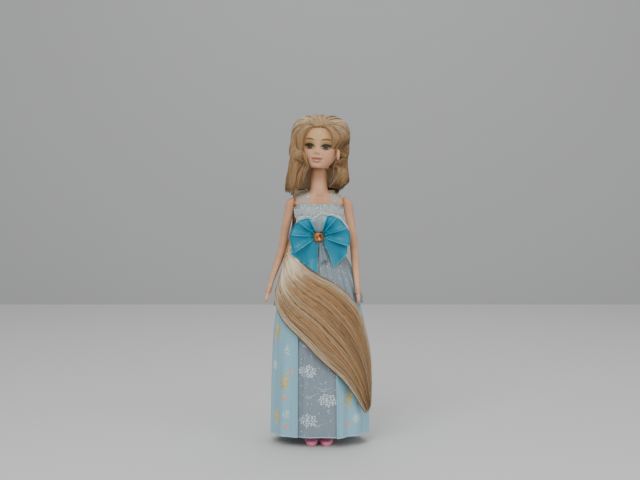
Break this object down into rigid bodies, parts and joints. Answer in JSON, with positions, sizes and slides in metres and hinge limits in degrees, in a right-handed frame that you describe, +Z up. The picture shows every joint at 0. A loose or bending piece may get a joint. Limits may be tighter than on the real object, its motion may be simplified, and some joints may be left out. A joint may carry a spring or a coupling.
{
  "type": "fashion doll",
  "caption": "Jointed fashion doll with long blonde hair, a floor-length light blue gown, a turquoise bow with a stone, and pink heeled shoes",
  "frame": {"origin": "centre of the bounding box at floor level, midway under the doll", "axes": "+Z up; the doll faces -Y; its left hand is on the +X side"},
  "size_m": [0.0953, 0.0696, 0.2969],
  "materials": {
    "skin_vinyl": "satin skin-toned vinyl",
    "white_plastic": "moulded plastic",
    "blonde_hair": "rooted synthetic hair, silky",
    "blue_satin": "light blue satin",
    "sheer_organza": "white sheer organza",
    "grey_organza": "grey-blue sheer organza",
    "silver_lace": "silver glitter lace",
    "glitter_cloth": "pale blue glitter cloth",
    "turquoise_satin": "turquoise satin ribbon",
    "gold_plate": "gold-coloured claw setting",
    "amber_gem": "faceted amber-coloured stone",
    "pink_vinyl": "glossy hot pink",
    "white_tape": "woven fastening tape"
  },
  "bodies": {
    "torso": {"torso_front": "skin_vinyl", "torso_back": "skin_vinyl", "neck_post": "skin_vinyl", "hip_block": "white_plastic", "hair_fall": "blonde_hair", "hair_sweep": "blonde_hair", "bodice": "glitter_cloth", "lace_band": "silver_lace", "strap_left": "sheer_organza", "strap_right": "sheer_organza", "skirt": "blue_satin", "front_panel": "grey_organza", "closure_flap": "glitter_cloth", "hook_tape": "white_tape", "loop_tape": "white_tape", "bow_loop_left": "turquoise_satin", "bow_loop_right": "turquoise_satin", "bow_tail_left": "turquoise_satin", "bow_tail_right": "turquoise_satin", "bow_knot": "turquoise_satin", "bow_veil": "sheer_organza", "gem_setting": "gold_plate", "gem": "amber_gem"},
    "head": {"head_shell": "skin_vinyl", "hair_cap": "blonde_hair", "hair_curtain": "blonde_hair"},
    "arm_left": {"arm_left": "skin_vinyl"},
    "arm_right": {"arm_right": "skin_vinyl"},
    "leg_left": {"leg_left": "skin_vinyl", "shoe_left": "pink_vinyl"},
    "leg_right": {"leg_right": "skin_vinyl", "shoe_right": "pink_vinyl"}
  },
  "joints": [
    {"name": "neck_turn", "type": "hinge", "parent": "torso", "child": "head", "pos_m": [0, 0, 0.2515], "axis": [0, 0, 1], "range_deg": [-81, 99]},
    {"name": "shoulder_left", "type": "hinge", "parent": "torso", "child": "arm_left", "pos_m": [0.0217, 0, 0.2185], "axis": [-1, 0, 0], "range_deg": [-70, 120]},
    {"name": "shoulder_right", "type": "hinge", "parent": "torso", "child": "arm_right", "pos_m": [-0.0217, 0, 0.2185], "axis": [-1, 0, 0], "range_deg": [-70, 120]},
    {"name": "hip_left", "type": "hinge", "parent": "torso", "child": "leg_left", "pos_m": [0.0054, 0, 0.15], "axis": [-1, 0, 0], "range_deg": [-20, 90], "deforming": ["skirt", "front_panel", "hair_sweep"]},
    {"name": "hip_right", "type": "hinge", "parent": "torso", "child": "leg_right", "pos_m": [-0.0054, 0, 0.15], "axis": [-1, 0, 0], "range_deg": [-20, 90]}
  ],
  "couplings": [
    {"joint": "hip_right", "follows": "hip_left", "ratio": 1}
  ]
}
